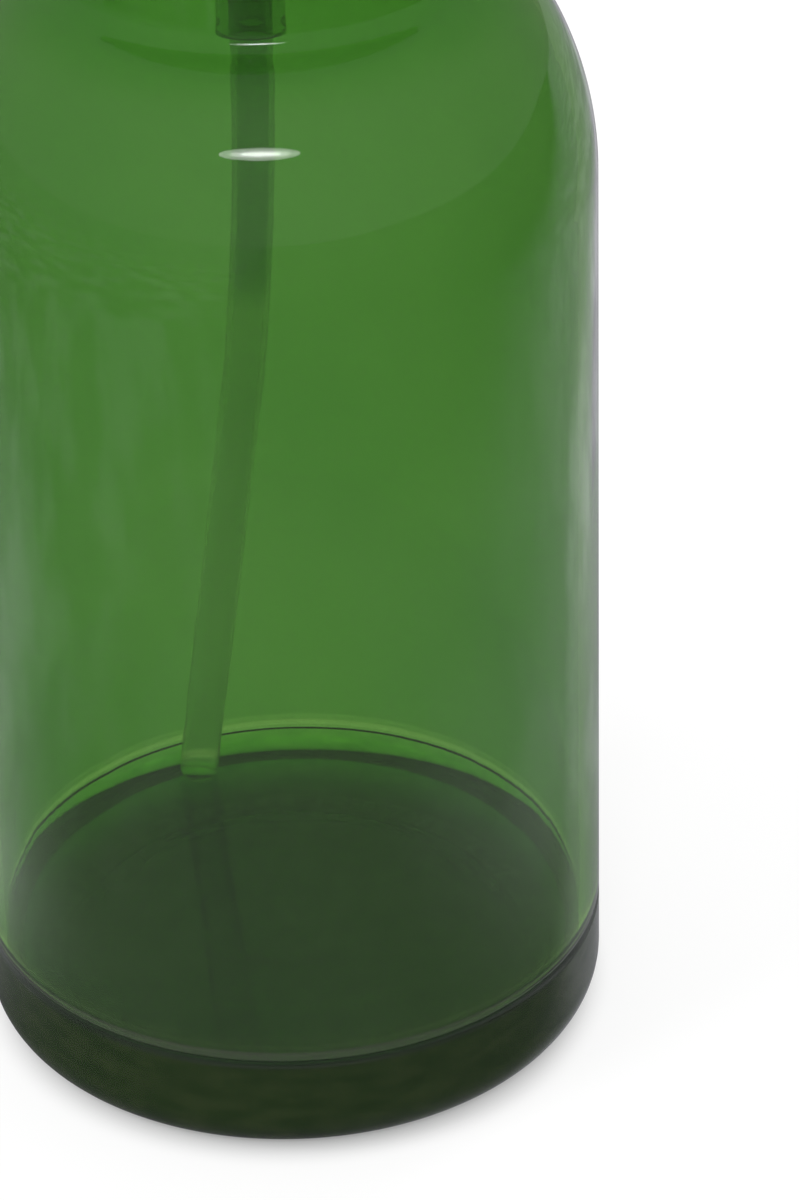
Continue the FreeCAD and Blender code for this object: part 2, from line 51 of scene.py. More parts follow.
CORNER_STEP = 15    # degrees between the points of a rounded corner
HOLD = 0.3          # from a long run's end to the point that holds it flat
SPAN = 16           # the longest gap between the points of a long run
MERGE = 0.002       # points nearer than this are one point
SHARP = 32          # degrees; an edge sharper than this is shaded as an edge
BIG = 1000          # how much larger a piece is made for a cut

def leave_all():
    """Nothing stays selected, so that an operator reaches only what is added next."""
    for thing in bpy.context.selected_objects:
        thing.select_set(False)


def stand(node):
    """Where a CAD node's upright axis and its foot are: (x, y, lowest z), in metres."""
    low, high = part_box(node)
    return Vector(((low[0] + high[0]) / 2, (low[1] + high[1]) / 2, low[2]))


def arc(x, z, radius, first, last, steps):
    """Points along a circular arc, from one angle to another in degrees."""
    angles = [radians(first + (last - first) * k / steps) for k in range(steps + 1)]
    return [(x + radius * cos(a), z + radius * sin(a)) for a in angles]


def eased(before, corner, after, radius):
    """The points that round a corner off."""
    here = Vector(corner[:2])
    to_before = (Vector(before[:2]) - here).normalized()
    to_after = (Vector(after[:2]) - here).normalized()
    opening = acos(max(-1.0, min(1.0, to_before.dot(to_after))))
    reach = radius / tan(opening / 2)
    middle = here + (to_before + to_after).normalized() * radius / sin(opening / 2)
    first, last = here + to_before * reach - middle, here + to_after * reach - middle
    steps = max(2, ceil(degrees(pi - opening) / CORNER_STEP))
    swing = atan2(first.x * last.y - first.y * last.x, first.dot(last))
    start = atan2(first.y, first.x)
    angles = [start + swing * k / steps for k in range(steps + 1)]
    return [(middle.x + radius * cos(a), middle.y + radius * sin(a)) for a in angles]


def outline(corners, closed, long_run):
    """A profile with its corners rounded, and points along every long straight run to hold it flat."""
    count = len(corners)
    points = []
    for k, corner in enumerate(corners):
        inner = closed or 0 < k < count - 1
        if len(corner) > 2 and inner:
            points += eased(corners[k - 1], corner, corners[(k + 1) % count], corner[2])
        else:
            points.append(tuple(corner[:2]))
    if closed:
        points.append(points[0])
    held = [points[0]]
    for a, b in zip(points, points[1:]):
        run = hypot(b[0] - a[0], b[1] - a[1])
        if run > long_run:
            close = min(HOLD, run / 5) / run
            spans = ceil(run / SPAN)
            parts = [close, *[k / spans for k in range(1, spans)], 1 - close]
            held += [(a[0] + (b[0] - a[0]) * part, a[1] + (b[1] - a[1]) * part) for part in parts]
        held.append(b)
    return held


def turned(name, corners, foot, steps=96, along="Z", closed=None, long_run=1.5):
    """A lathe-turned piece. Its corners are (radius, height), with a rounding where one is given."""
    if closed is None:
        closed = corners[0][0] > 0
    axis, outward = AXES[along], AXES["Z" if along == "X" else "X"]
    path = [foot + (outward * r + axis * h) * MM for r, h in outline(corners, closed, long_run)]
    leave_all()
    bpy.ops.mesh.primitive_plane_add(size=MM, location=(0, 0, 0))
    piece = bpy.context.object
    piece.name = name
    bpy.ops.object.mode_set(mode="EDIT")
    bpy.ops.mesh.select_mode(type="VERT")
    bpy.ops.mesh.merge(type="CENTER")
    bpy.ops.transform.translate(value=path[0])
    for here, there in zip(path, path[1:]):
        bpy.ops.mesh.extrude_region_move(TRANSFORM_OT_translate={"value": there - here})
    bpy.ops.mesh.select_all(action="SELECT")
    bpy.ops.mesh.spin(steps=steps, angle=2 * pi, center=foot, axis=axis)
    close_up(piece)
    return piece


def close_up(piece):
    """Merges what lies on itself and turns every face outwards."""
    bpy.ops.mesh.select_all(action="SELECT")
    bpy.ops.mesh.remove_doubles(threshold=MERGE * MM)
    bpy.ops.mesh.normals_make_consistent(inside=False)
    bpy.ops.object.mode_set(mode="OBJECT")
    bpy.ops.object.shade_smooth()


def only(piece):
    """One piece is selected and active, and nothing else."""
    leave_all()
    piece.select_set(True)
    bpy.context.view_layer.objects.active = piece


def apply(piece, kind, **settings):
    """Adds a modifier and applies it at once."""
    only(piece)
    modifier = piece.modifiers.new(kind.lower(), kind)
    for key, value in settings.items():
        setattr(modifier, key, value)
    bpy.ops.object.modifier_apply(modifier=modifier.name)


def grow(piece, times):
    """Makes a piece larger or smaller about the origin."""
    only(piece)
    piece.scale = (times, times, times)
    bpy.ops.object.transform_apply(location=False, rotation=False, scale=True)


def carve(piece, tool, operation="DIFFERENCE"):
    """Cuts, joins or crosses a piece with another, which is used up. Both are made big for it, to keep it exact."""
    grow(piece, BIG)
    grow(tool, BIG)
    apply(piece, "BOOLEAN", operation=operation, solver="EXACT", object=tool)
    bpy.data.objects.remove(tool, do_unlink=True)
    grow(piece, 1 / BIG)


def drill(x, y, radius, low, high, steps=64):
    """A cutter: an upright rod. Its place and its ends are in metres."""
    leave_all()
    bpy.ops.mesh.primitive_cylinder_add(vertices=steps, radius=radius * MM, depth=high - low,
                                        location=(x, y, (low + high) / 2))
    bpy.ops.object.transform_apply(location=True, rotation=True, scale=True)
    return bpy.context.object


def shade_round(piece, angle=SHARP):
    """Shades what is round as round, and keeps its sharp edges."""
    only(piece)
    bpy.ops.object.shade_smooth_by_angle(angle=radians(angle))


def ease_edges(piece, width, segments, angle):
    """Bevels every sharp edge."""
    apply(piece, "BEVEL", width=width * MM, segments=segments, limit_method="ANGLE", angle_limit=radians(angle),
          use_clamp_overlap=True, miter_outer="MITER_ARC")
    shade_round(piece, angle)


def raise_thread(piece, radius, depth, start, turns, pitch, root, crest):
    """Pushes the wall at one radius out, or in for a minus depth, along a helix.

    The helix starts at +X and fades away at both of its ends.
    """
    on_wall, run_out = 0.02, 0.04
    for vertex in piece.data.vertices:
        x, y, z = (c / MM for c in vertex.co)
        if abs(hypot(x, y) - radius) > on_wall:
            continue
        around = (atan2(y, x) / (2 * pi)) % 1.0
        rise = 0.0
        for lap in range(ceil(turns) + 1):
            run = around + lap
            if run <= turns:
                off = abs(z - start - pitch * run)
                flank = min(1.0, max(0.0, (root - 2 * off) / (root - crest)))
                fade = min(1.0, run / run_out, (turns - run) / run_out)
                rise = max(rise, flank * fade)
        if rise:
            grown = 1 + depth * rise / radius
            vertex.co.x *= grown
            vertex.co.y *= grown


# Finishes

class Wire:
    """A socket's output, used like a number."""

    def __init__(self, bench, socket):
        self.bench, self.socket = bench, socket

    def __add__(self, other):
        return self.bench.maths("ADD", self, other)

    def __sub__(self, other):
        return self.bench.maths("SUBTRACT", self, other)

    def __rsub__(self, other):
        return self.bench.maths("SUBTRACT", other, self)

    def __mul__(self, other):
        return self.bench.maths("MULTIPLY", self, other)

    __radd__ = __add__
    __rmul__ = __mul__


class Bench:
    """A node tree on which a finish or a light is put together."""

    def __init__(self, owner):
        owner.use_nodes = True
        self.tree = owner.node_tree
        self.tree.nodes.clear()

    def node(self, kind, settings=None, inputs=None, output=0):
        """Adds a node with its settings, and links or sets its sockets."""
        made = self.tree.nodes.new(kind)
        for key, value in (settings or {}).items():
            setattr(made, key, value)
        for key, value in (inputs or {}).items():
            if isinstance(value, Wire):
                self.tree.links.new(value.socket, made.inputs[key])
            else:
                made.inputs[key].default_value = value
        return Wire(self, made.outputs[output])

    def maths(self, operation, *values):
        return self.node("ShaderNodeMath", {"operation": operation}, dict(enumerate(values)))

    def point(self, scale=(1, 1, 1)):
        """The place on the object, in metres, stretched along its axes."""
        at = self.node("ShaderNodeTexCoord", output="Object")
        return self.node("ShaderNodeMapping", {}, {"Vector": at, "Scale": scale})

    def axis(self, letter):
        """How far along one axis of the object, in metres."""
        at = self.node("ShaderNodeTexCoord", output="Object")
        return self.node("ShaderNodeSeparateXYZ", {}, {0: at}, letter)

    def noise(self, scale, detail=2.0, rough=0.5, stretch=(1, 1, 1)):
        return self.node("ShaderNodeTexNoise", {},
                         {"Vector": self.point(stretch), "Scale": scale, "Detail": detail, "Roughness": rough})

    def step(self, value, none, full):
        """0 up to one value and 1 from the other, eased between. Either may be the higher."""
        return self.node("ShaderNodeMapRange", {"interpolation_type": "SMOOTHSTEP"},
                         {"Value": value, "From Min": none, "From Max": full})

    def band(self, value, start, rising, falling, end):
        """1 from rising to falling, and 0 outside start and end."""
        return self.step(value, start, rising) * self.step(value, end, falling)

    def shade(self, factor, under, over):
        """A colour between two others, each of them plain or a wire."""
        under, over = (colour if isinstance(colour, Wire) else (*colour, 1) for colour in (under, over))
        return self.node("ShaderNodeMix", {"data_type": "RGBA"}, {0: factor, 6: under, 7: over}, 2)

    def relief(self, height, distance, strength):
        return self.node("ShaderNodeBump", {}, {"Height": height, "Distance": distance * MM, "Strength": strength})

    def ray(self, kind):
        """1 for rays of one kind."""
        return self.node("ShaderNodeLightPath", output=f"Is {kind} Ray")

    def seen(self):
        """1 for what is looked at, straight or through glass."""
        return self.maths("MAXIMUM", self.ray("Camera"), self.ray("Transmission"))

    def surface(self, shader, volume=None, kind="ShaderNodeOutputMaterial"):
        """Ends the tree."""
        out = self.tree.nodes.new(kind)
        self.tree.links.new(shader.socket, out.inputs["Surface"])
        if volume:
            self.tree.links.new(volume.socket, out.inputs["Volume"])


def finish(name, build):
    material = bpy.data.materials.new(name)
    build(Bench(material))
    return material


def green_glass(b):
    """Bottle-green blown glass, cloudy in places, with slow waves and a fine drawn ripple in its surface.

    Its neck is deeper, its heel is mottled and greener, and the edge above the foot groove is painted pale: a
    painted highlight line.
    """
    cloud = b.step(b.noise(17, 3, 0.55, (1, 1, 0.7)), 0.30, 0.72)
    mottle = b.step(b.noise(90, 5, 0.65, (1, 1, 2.5)), 0.36, 0.66)
    height = b.axis("Z")
    at_neck = b.step(height, 0.283, 0.292)
    at_heel = b.step(height, 0.0290, 0.0275)
    # Painted highlight: a pale band along the upper edge of the foot groove, painted into the tint.
    painted_highlight_band = b.band(height, 0.0300, 0.0304, 0.0330, 0.0336)
    colour = b.shade(cloud, (0.45, 0.69, 0.40), (0.51, 0.74, 0.45))
    colour = b.shade(at_neck, colour, b.shade(cloud, (0.33, 0.64, 0.25), (0.38, 0.68, 0.29)))
    colour = b.shade(at_heel, colour, b.shade(mottle, (0.34, 0.74, 0.17), (0.60, 1.0, 0.30)))
    # The tint turns almost white along the painted highlight band.
    colour = b.shade(painted_highlight_band, colour, (1, 1, 0.94))
    waves = b.noise(26, 1.5, 0.45, (1, 1, 0.35))
    ripple = b.noise(420, 1, 0.5, (1, 1, 0.06)) * 0.012
    shader = b.node("ShaderNodeBsdfPrincipled", {}, {
        "Base Color": colour,
        "Roughness": 0.0,
        "IOR": 1.52,
        "Transmission Weight": 0.96,
        "Normal": b.relief(waves + ripple, 0.55, 0.5),
    })
    tint = b.node("ShaderNodeVolumeAbsorption", {}, {"Color": (0.42, 0.625, 0.108, 1), "Density": 250.0})
    b.surface(shader, tint)


def smoked_plastic(b):
    """Smoked translucent tube and sleeve, with painted shade that makes them darker and greener above a height of
    0.2 m.
    """
    # Painted shade: everything above 0.2 m, which is the upper tube and the sleeve, takes the darker, greener tone.
    painted_shade_above = b.step(b.axis("Z"), 0.195, 0.205)
    mottle = b.noise(160, 2)
    pale = b.shade(mottle, (0.86, 0.86, 0.85), (0.92, 0.92, 0.91))
    # deep is the painted shade tone.
    deep = b.shade(mottle, (0.52, 0.64, 0.46), (0.62, 0.73, 0.55))
    shader = b.node("ShaderNodeBsdfPrincipled", {}, {
        "Base Color": b.shade(painted_shade_above, pale, deep),
        "Roughness": 0.12,
        "IOR": 1.34,
        "Transmission Weight": 1.0,
        "Normal": b.relief(b.noise(900, 2, 0.6, (1, 1, 0.05)), 0.05, 0.3),
    })
    b.surface(shader)


def moulded_black(b):
    """Black polypropylene with a fine spark-eroded grain, a little paler where it is handled."""
    grain = b.noise(2600, 3, 0.6)
    handled = b.step(b.noise(45, 4, 0.6), 0.48, 0.75)
    shader = b.node("ShaderNodeBsdfPrincipled", {}, {
        "Base Color": b.shade(handled, (0.013, 0.013, 0.014), (0.028, 0.028, 0.029)),
        "Roughness": 0.46 + handled * 0.12 + grain * 0.06,
        "Specular IOR Level": 0.45,
        "Normal": b.relief(grain, 0.06, 0.5),
    })
    b.surface(shader)


def silicone(b):
    """Milky silicone rubber with a soft dusty bloom."""
    bloom = b.noise(90, 4, 0.6)
    shader = b.node("ShaderNodeBsdfPrincipled", {}, {
        "Base Color": b.shade(bloom, (0.58, 0.57, 0.53), (0.70, 0.69, 0.66)),
        "Roughness": 0.5 + bloom * 0.2,
        "Subsurface Weight": 0.35,
        "Subsurface Radius": (0.004, 0.0035, 0.003),
        "Normal": b.relief(b.noise(1500, 2), 0.04, 0.4),
    })
    b.surface(shader)


def clear_plastic(b):
    """Clear styrene with faint flow lines from its mould."""
    flow = b.noise(70, 2, 0.5, (1, 1, 0.3))
    shader = b.node("ShaderNodeBsdfPrincipled", {}, {
        "Base Color": b.shade(flow, (0.93, 0.945, 0.945), (0.985, 0.99, 0.985)),
        "Roughness": 0.03,
        "IOR": 1.5,
        "Transmission Weight": 1.0,
        "Normal": b.relief(flow, 0.25, 0.4),
    })
    b.surface(shader)


def coloured_plastic(red, deep):
    """Bright moulded plastic, a shade deeper in drifts, with a light grain."""
    def build(b):
        drift = b.noise(60, 3, 0.55)
        grain = b.noise(2200, 2)
        shader = b.node("ShaderNodeBsdfPrincipled", {}, {
            "Base Color": b.shade(drift, deep, red),
            "Roughness": 0.26 + grain * 0.12 + drift * 0.08,
            "Coat Weight": 0.15,
            "Normal": b.relief(grain, 0.04, 0.35),
        })
        b.surface(shader)
    return build


FINISHES = {
    "green_glass": finish("bottle_green_glass", green_glass),
    "silicone": finish("milky_silicone", silicone),
    "lid_plastic": finish("grained_black_plastic", moulded_black),
    "smoked_plastic": finish("smoked_tube_plastic", smoked_plastic),
    "clear_plastic": finish("clear_styrene", clear_plastic),
    "cap_plastic": finish("red_cap_plastic", coloured_plastic((0.42, 0.012, 0.010), (0.30, 0.008, 0.008))),
    "tap_plastic": finish("black_tap_plastic", moulded_black),
    "lever_plastic": finish("red_lever_plastic", coloured_plastic((0.45, 0.014, 0.011), (0.33, 0.009, 0.008))),
}


def fit(piece, node, body, slot):
    """The piece stands for a CAD node, moves with its body and takes its finish."""
    piece.data.materials.clear()
    piece.data.materials.append(FINISHES[slot])
    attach(piece, body)
    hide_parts(node)
    return piece


# Glass vessel

BODY, WALL, BASE = 80.0, 5.0, 24.0
NECK, BORE = 48.8, 43.8
PITCH = 5.08
THREAD_DEPTH, THREAD_DROP = 1.3, 11.0
THREAD_SIZES = {"turns": 1.25, "pitch": PITCH, "root": 2.5, "crest": 1.4}

# The shoulder is an arc of radius LOW up to the angle TURN, a tighter one up to RISE, and the neck's fillet.
LOW, TURN, RISE = 86.0, 24.0, 66.0
FILLET = 6.0
wall_top = 238.0
mid_x, mid_z = BODY - LOW * (1 - cos(radians(TURN))), wall_top + LOW * sin(radians(TURN))
top_x = NECK + FILLET * (1 - cos(radians(RISE)))
upper = (mid_x - top_x) / (cos(radians(TURN)) - cos(radians(RISE)))
upper_x, upper_z = mid_x - upper * cos(radians(TURN)), mid_z - upper * sin(radians(TURN))
neck_foot = upper_z + upper * sin(radians(RISE)) + FILLET * sin(radians(RISE))
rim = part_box("glass_vessel")[1][2] / MM


def vessel():
    """Round bottle: a groove above its rounded heel, a bead and the thread on its neck, a pressed ring inside."""
    heel, groove, inner_heel, press = 13, 1.4, 6, 0.5
    bead, bead_half, bead_radius = rim - 20.0, 1.6, 1.8
    sunk = sqrt(bead_radius ** 2 - bead_half ** 2)
    spread = degrees(asin(bead_half / bead_radius))
    outside = [
        (0, 1.6), (55, 1.6, 6), (60, 0, 6), (BODY - heel, 0), *arc(BODY - heel, heel, heel, -90, 0, 14)[1:],
        (BODY, 28.4), (BODY - groove, 29.6), (BODY, 31.3),
        (BODY, wall_top), *arc(BODY - LOW, wall_top, LOW, 0, TURN, 18)[1:],
        *arc(upper_x, upper_z, upper, TURN, RISE, 24)[1:],
        *arc(NECK + FILLET, neck_foot, FILLET, 180 + RISE, 180, 9)[1:],
        (NECK, bead), *arc(NECK - sunk, bead + bead_half, bead_radius, -spread, spread, 8)[1:-1],
        (NECK, bead + 2 * bead_half),
        *[(NECK, bead + 3.6 + 0.4 * k) for k in range(34)],
        (NECK, rim, 1.8),
    ]
    inside = [
        (BORE, rim, 1.8), (BORE, neck_foot),
        *arc(NECK + FILLET, neck_foot, FILLET + WALL, 180, 180 + RISE, 9)[1:],
        *arc(upper_x, upper_z, upper - WALL, RISE, TURN, 22)[1:],
        *arc(BODY - LOW, wall_top, LOW - WALL, TURN, 0, 17)[1:],
        (BODY - WALL, BASE + inner_heel),
        *arc(BODY - WALL - inner_heel, BASE + inner_heel, inner_heel, 0, -90, 10)[1:],
        (47, BASE), (45, BASE - press), (27, BASE - press), (25, BASE), (0, BASE),
    ]
    piece = turned("carboy_glass", outside + inside, Vector((0, 0, 0)), steps=256, long_run=4.0)
    raise_thread(piece, NECK, THREAD_DEPTH, rim - THREAD_DROP, **THREAD_SIZES)
    return fit(piece, "glass_vessel", "vessel", "green_glass")


vessel()


# Lid: gasket, disc and threaded ring

def gasket():
    corners = [(43.4, 0, 0.5), (48.6, 0, 0.5), (48.6, 2, 0.5), (43.4, 2, 0.5)]
    return fit(turned("rim_gasket", corners, stand("disc_gasket"), 144), "disc_gasket", "lid", "silicone")


def disc():
    """Closing disc with a locating lip below and two moulded grooves in its face."""
    corners = [
        (0, 6), (41.2, 6, 0.6), (41.2, 0, 0.7), (43.2, 0, 0.7), (43.2, 6, 0.5), (49.6, 6, 0.5), (49.6, 9, 0.6),
        (44.6, 9, 0.3), (44.2, 8.4, 0.3), (42.6, 8.4, 0.3), (42.2, 9, 0.3),
        (39.0, 9, 0.3), (38.7, 8.6, 0.2), (38.1, 8.6, 0.2), (37.8, 9, 0.3), (0, 9),
    ]
    foot = stand("lid_disc")
    piece = turned("closing_disc", corners, foot, 192)
    for node, radius in (("stem_sleeve", 7.0), ("airlock_body", 7.0)):
        x, y, _ = stand(node)
        carve(piece, drill(x, y, radius, foot.z - 0.005, foot.z + 0.02))
    shade_round(piece)
    return fit(piece, "lid_disc", "lid", "lid_plastic")


def ring():
    """Screw ring: raised grip ribs outside, the thread's ridge inside."""
    foot = stand("lid_ring")
    bore, skin = 50.6, 53.8
    rib_foot, rib_top, rib_height = 1.6, 20.8, 0.9
    rib_pitch = 360 / 48
    corners = [
        (bore, 0, 0.4), (skin, 0, 0.5), (skin, rib_foot), (skin, rib_top), (skin, 24, 1.6), (46, 24, 0.8),
        (46, 21, 0.5), (bore, 21, 0.4), *[(bore, 16.0 - 0.4 * k) for k in range(36)],
    ]
    piece = turned("screw_ring", corners, foot, 288, closed=True)
    raise_thread(piece, bore, -THREAD_DEPTH, rim - THREAD_DROP - PITCH / 2, **THREAD_SIZES)
    only(piece)
    bpy.ops.object.mode_set(mode="EDIT")
    bpy.ops.mesh.select_all(action="DESELECT")
    bpy.ops.mesh.select_mode(type="FACE")
    bpy.ops.object.mode_set(mode="OBJECT")
    for face in piece.data.polygons:
        x, y, z = face.center / MM
        along = z - foot.z / MM
        around = (degrees(atan2(y, x)) + rib_pitch / 6) % rib_pitch
        face.select = hypot(x, y) > skin - 0.1 and rib_foot < along < rib_top and around < rib_pitch / 3
    bpy.ops.object.mode_set(mode="EDIT")
    bpy.ops.mesh.extrude_region_shrink_fatten(TRANSFORM_OT_shrink_fatten={"value": rib_height * MM})
    bpy.ops.object.mode_set(mode="OBJECT")
    ease_edges(piece, 0.4, 3, 30)
    return fit(piece, "lid_ring", "ring", "lid_plastic")


gasket()
disc()
ring()


# Stem: sleeve, washer, nut and dip tube

def sleeve():
    corners = [
        (5.3, 0, 0.5), (8.25, 0, 0.7), (8.25, 47.5, 0.8), (12, 47.5, 0.6), (12, 50.5, 0.6), (6.8, 50.5, 0.3),
        (6.8, 62, 0.5), (5.5, 62, 0.2), (5.5, 72, 0.6), (3.8, 72, 0.3), (3.8, 25, 0.2), (5.3, 25, 0.2),
    ]
    return fit(turned("bulkhead_sleeve", corners, stand("stem_sleeve")), "stem_sleeve", "lid", "smoked_plastic")


def washer():
    corners = [(7.0, 0, 0.4), (11.8, 0, 0.4), (11.8, 1.5, 0.4), (7.0, 1.5, 0.4)]
    return fit(turned("sleeve_washer", corners, stand("stem_washer"), 72), "stem_washer", "lid", "silicone")


def nut():
    """Hexagon nut with its corners turned off at both ends."""
    foot = stand("stem_nut")
    across, height = 21, 6
    leave_all()
    bpy.ops.mesh.primitive_cylinder_add(vertices=6, radius=across / sqrt(3) * MM, depth=height * MM,
                                        location=foot + AXES["Z"] * height / 2 * MM, rotation=(0, 0, radians(30)))
    piece = bpy.context.object
    piece.name = "clamp_nut"
    bpy.ops.object.transform_apply(location=True, rotation=True, scale=True)
    blank = [(0, -0.2), (10.6, -0.2), (12.9, 1.2), (12.9, 4.8), (10.6, 6.2), (0, 6.2)]
    carve(piece, turned("nut_blank", blank, foot), "INTERSECT")
    carve(piece, drill(foot.x, foot.y, 6.9, foot.z - 0.002, foot.z + 0.008))
    ease_edges(piece, 0.3, 2, 28)
    return fit(piece, "stem_nut", "lid", "lid_plastic")


def dip_tube():
    """Tube drawn straight down out of the sleeve, bent once, then straight to the foot of the far wall."""
    outer, inner, bend = 5.25, 3.8, 340.0
    wall_gap, foot_gap, set_in = 1.4, 0.3, 25
    azimuth = radians(112.6)
    top = stand("stem_sleeve")
    circle = BODY - WALL - outer - wall_gap
    foot = Vector((circle * cos(azimuth) - top.x / MM, circle * sin(azimuth)))
    reach, drop = foot.length, top.z / MM - BASE
    straight = sqrt(reach ** 2 + drop ** 2 - 2 * reach * bend)
    lean = atan2(drop, bend - reach) - atan2(straight, bend)
    heading = Vector((foot.x, foot.y, 0)).normalized()
    leave_all()
    bpy.ops.mesh.primitive_circle_add(vertices=48, radius=outer * MM, fill_type="NOTHING", location=(0, 0, 0))
    piece = bpy.context.object
    piece.name = "dip_tube_pipe"
    bpy.ops.object.mode_set(mode="EDIT")
    bpy.ops.mesh.select_mode(type="VERT")
    bpy.ops.mesh.extrude_region_move(TRANSFORM_OT_translate={"value": (0, 0, 0)})
    bpy.ops.transform.resize(value=(inner / outer, inner / outer, 1))
    bpy.ops.mesh.select_all(action="SELECT")
    bpy.ops.transform.translate(value=top + AXES["Z"] * set_in * MM)
    bpy.ops.mesh.extrude_region_move(TRANSFORM_OT_translate={"value": (0, 0, -set_in * MM)})
    pivot = top + heading * bend * MM
    bpy.ops.mesh.spin(steps=28, angle=lean, center=pivot, axis=AXES["Z"].cross(heading))
    sideways = reach - bend * (1 - cos(lean))
    down = drop - bend * sin(lean) - outer * sin(lean) - foot_gap
    bpy.ops.mesh.extrude_region_move(TRANSFORM_OT_translate={"value": (heading * sideways - AXES["Z"] * down) * MM})
    close_up(piece)
    ease_edges(piece, 0.25, 2, 50)
    return fit(piece, "dip_tube", "lid", "smoked_plastic")


sleeve()
washer()
nut()
dip_tube()


# Airlock

def grommet():
    corners = [
        (4.8, 0, 0.3), (8.3, 0, 0.5), (9.4, 2.2, 0.5), (6.95, 2.2, 0.2), (6.95, 5.2, 0.2), (9.4, 5.2, 0.5),
        (8.3, 7.4, 0.6), (4.8, 7.4, 0.4),
    ]
    return fit(turned("airlock_seal", corners, stand("airlock_grommet"), 72), "airlock_grommet", "lid", "silicone")


def airlock_cup():
    """Water cup on its hollow stem, with the riser inside and a moulded fill line outside."""
    corners = [
        (3.4, 0, 0.3), (4.75, 0, 0.4), (4.75, 36, 0.6), (14, 36), *arc(14, 39, 3, -90, 0, 6)[1:],
        (17, 57), (16.7, 57.2), (16.7, 57.8), (17, 58), (17, 80, 0.6), (15.5, 80, 0.4), (15.5, 39),
        *arc(14, 39, 1.5, 0, -90, 5)[1:], (4.75, 37.5, 0.4), (4.75, 62, 0.5), (3.4, 62, 0.3),
    ]
    return fit(turned("airlock_cup", corners, stand("airlock_body")), "airlock_body", "airlock", "clear_plastic")


def float_bell():
    corners = [(0, 23), (8.2, 23, 0.8), (8.2, 0, 0.3), (9.4, 0, 0.4), (9.4, 24.2, 1.2), (0, 24.2)]
    return fit(turned("float_bell", corners, stand("airlock_float")), "airlock_float", "float", "clear_plastic")


def airlock_cap():
    """Snap-on cap with six vents inside its low rim."""
    foot = stand("airlock_cap")
    corners = [
        (0, 5), (17.3, 5, 0.3), (17.3, 0, 0.3), (18.7, 0, 0.5), (18.7, 6.4, 1.4), (16.6, 6.4, 0.3),
        (16.2, 6.05, 0.3), (0, 6.05),
    ]
    vent_circle, vent = 12.5 * MM, 1.1
    piece = turned("vented_cap", corners, foot, 120)
    for turn in range(0, 360, 60):
        x, y = foot.x + vent_circle * cos(radians(turn)), foot.y + vent_circle * sin(radians(turn))
        carve(piece, drill(x, y, vent, foot.z + 4 * MM, foot.z + 8 * MM, 24))
    shade_round(piece)
    return fit(piece, "airlock_cap", "cap", "cap_plastic")


grommet()
airlock_cup()
float_bell()
airlock_cap()


# Tap

TAP_HEIGHT = 18.5
tap_axis = stand("stem_sleeve")
tap_foot = Vector((tap_axis.x, tap_axis.y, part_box("tap_body")[0][2]))
tap_middle = tap_foot + AXES["Z"] * TAP_HEIGHT * MM


def tap_body():
    """Angle body: socket below, barrel across, barbed outlet to the side, and the ways that join them inside."""
    shell, barrel, barrel_half = 8.05, 7.95, 10
    root, crest, barb, barbs = 4.2, 5.1, 5, 3
    bore, seat, socket = 3, 5.45, 5.55
    end = barrel + 20
    upright = [(0, 0), (shell, 0, 0.6), (shell, 3, 0.4), (7.6, 3.4, 0.3), (7.6, TAP_HEIGHT), (0, TAP_HEIGHT)]
    across = [(0, -barrel_half), (barrel, -barrel_half, 0.6), (barrel, barrel_half, 0.6), (0, barrel_half)]
    spout = [(0, -end)]
    for k in range(barbs):
        tip = -end + barb * k
        spout += [(root, tip, 0.2), (crest, tip + barb - 1, 0.15), (crest, tip + barb, 0.15)]
    spout += [(root, -end + barb * barbs, 0.2), (root, 0), (0, 0)]
    piece = turned("angle_body", upright, tap_foot)
    carve(piece, turned("barrel", across, tap_middle, along="Y"), "UNION")
    carve(piece, turned("spout", spout, tap_middle, 72, along="X"), "UNION")

    seat_way = [(0, -12), (seat, -12), (seat, 12), (0, 12)]
    outlet_way = [(0, -end - 1), (bore, -end - 1), (bore, 1.3), (0, 1.3)]
    upright_way = [(0, -1), (socket, -1), (socket, 10.05), (bore, 10.05), (bore, 16.7), (0, 16.7)]
    ways = turned("plug_seat", seat_way, tap_middle, along="Y")
    carve(ways, turned("bore", outlet_way, tap_middle, 48, along="X"), "UNION")
    carve(ways, turned("socket", upright_way, tap_foot, 64), "UNION")
    carve(piece, ways)
    shade_round(piece)
    return fit(piece, "tap_body", "lid", "tap_plastic")


def tap_plug():
    """Rotor with its round head and a rounded lever that stands up when the tap is shut."""
    low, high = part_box("tap_plug")
    start = Vector((tap_axis.x, low[1], tap_middle.z))
    head, length = 3.0, (high[1] - low[1]) / MM
    lever_length, lever_half = 19, 3
    rotor = [
        (0, 0), (7.2, 0, 0.6), (7.2, head, 0.4), (5.4, head, 0.2), (5.4, head + 20.5, 0.2), (3, head + 20.5, 0.2),
        (3, length, 0.4), (0, length),
    ]
    piece = turned("tap_rotor", rotor, start, 72, along="Y")
    tip = start + (AXES["Y"] * head / 2 + AXES["Z"] * lever_length) * MM
    leave_all()
    bpy.ops.mesh.primitive_cylinder_add(vertices=48, radius=lever_half * MM, depth=head * MM,
                                        rotation=(radians(90), 0, 0), location=tip)
    lever = bpy.context.object
    bpy.ops.object.transform_apply(location=True, rotation=True, scale=True)
    bpy.ops.object.mode_set(mode="EDIT")
    bpy.ops.mesh.select_all(action="DESELECT")
    bpy.ops.object.mode_set(mode="OBJECT")
    for vertex in lever.data.vertices:
        vertex.select = vertex.co.z < tip.z - 0.01 * MM
    bpy.ops.object.mode_set(mode="EDIT")
    bpy.ops.mesh.select_mode(type="VERT")
    bpy.ops.transform.resize(value=(1, 1, 0), center_override=(start.x, start.y, tip.z))
    bpy.ops.transform.translate(value=(0, 0, -lever_length * MM))
    bpy.ops.object.mode_set(mode="OBJECT")
    carve(piece, lever, "UNION")
    ease_edges(piece, 0.35, 2, 40)
    return fit(piece, "tap_plug", "plug", "lever_plastic")


